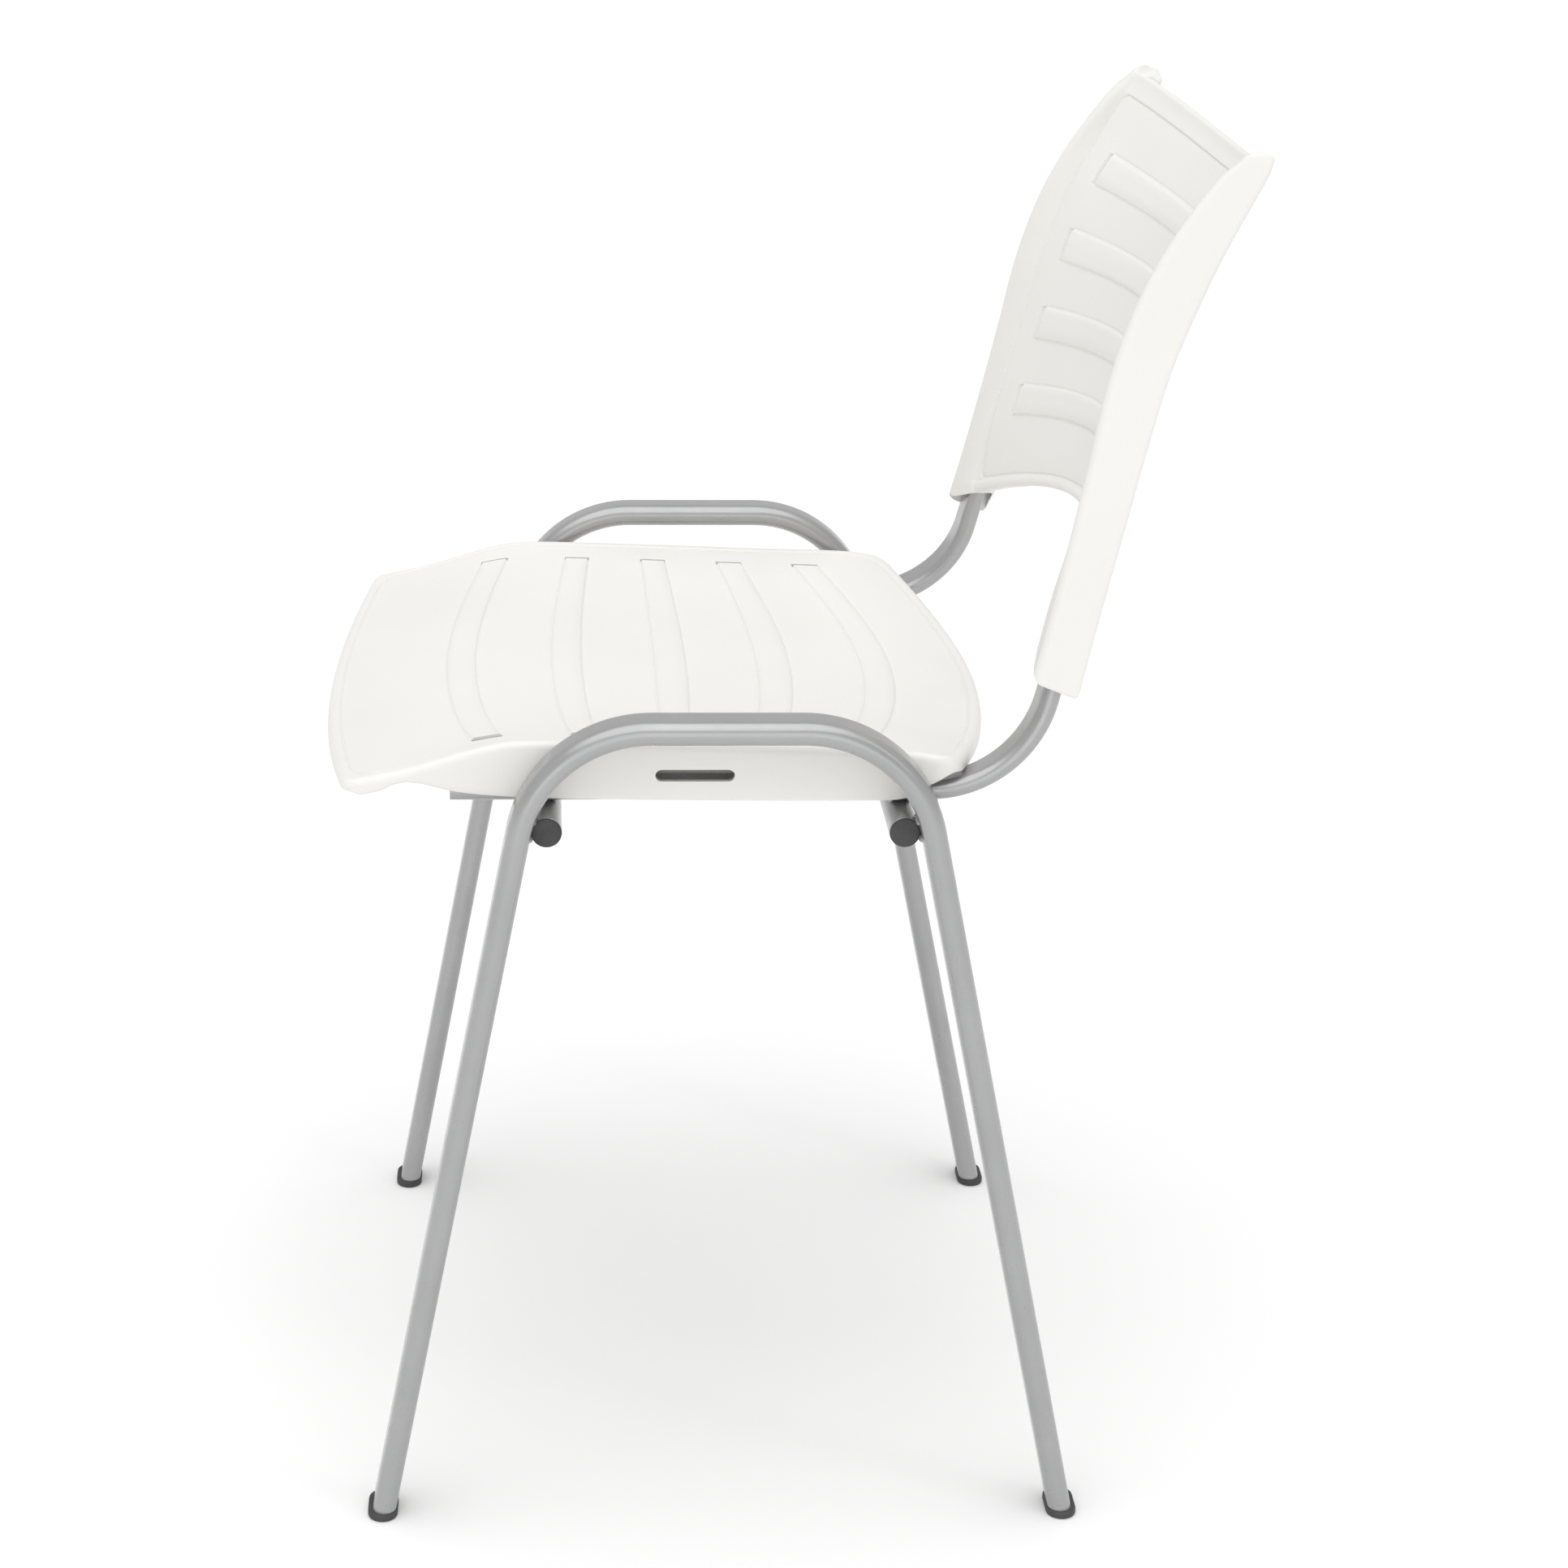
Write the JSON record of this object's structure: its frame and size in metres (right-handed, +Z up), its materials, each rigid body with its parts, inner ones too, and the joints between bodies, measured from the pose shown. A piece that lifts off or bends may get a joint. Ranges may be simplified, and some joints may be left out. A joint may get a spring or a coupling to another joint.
{
  "type": "stacking chair",
  "caption": "Armless stacking chair: flat-oval steel tube frame with two arched leg frames, a dished slatted plastic seat and a curved slatted plastic back on two uprights.",
  "frame": {"origin": "on the floor, in the middle of the chair's outline", "axes": "+X the sitter's left, -Y the front, +Z up"},
  "size_m": [0.476, 0.5517, 0.821],
  "materials": {
    "frame": "satin silver-grey powder coat",
    "shell": "warm off-white moulded polypropylene, fine satin grain",
    "foot": "black moulded glide",
    "plug": "black moulded plug, fine texture",
    "fastener": "zinc-plated screw"
  },
  "bodies": {
    "root": {"left_leg_frame": "frame", "right_leg_frame": "frame", "front_cross_tube": "frame", "rear_cross_tube": "frame", "left_back_upright": "frame", "right_back_upright": "frame", "seat_shell": "shell", "back_shell": "shell", "front_left_foot": "foot", "front_right_foot": "foot", "rear_left_foot": "foot", "rear_right_foot": "foot", "front_left_tube_plug": "plug", "front_right_tube_plug": "plug", "rear_left_tube_plug": "plug", "rear_right_tube_plug": "plug", "leg_weld_beads": "frame", "upright_weld_beads": "frame", "seat_screws": "fastener", "seat_washers": "fastener", "back_screws": "fastener"}
  },
  "joints": []
}
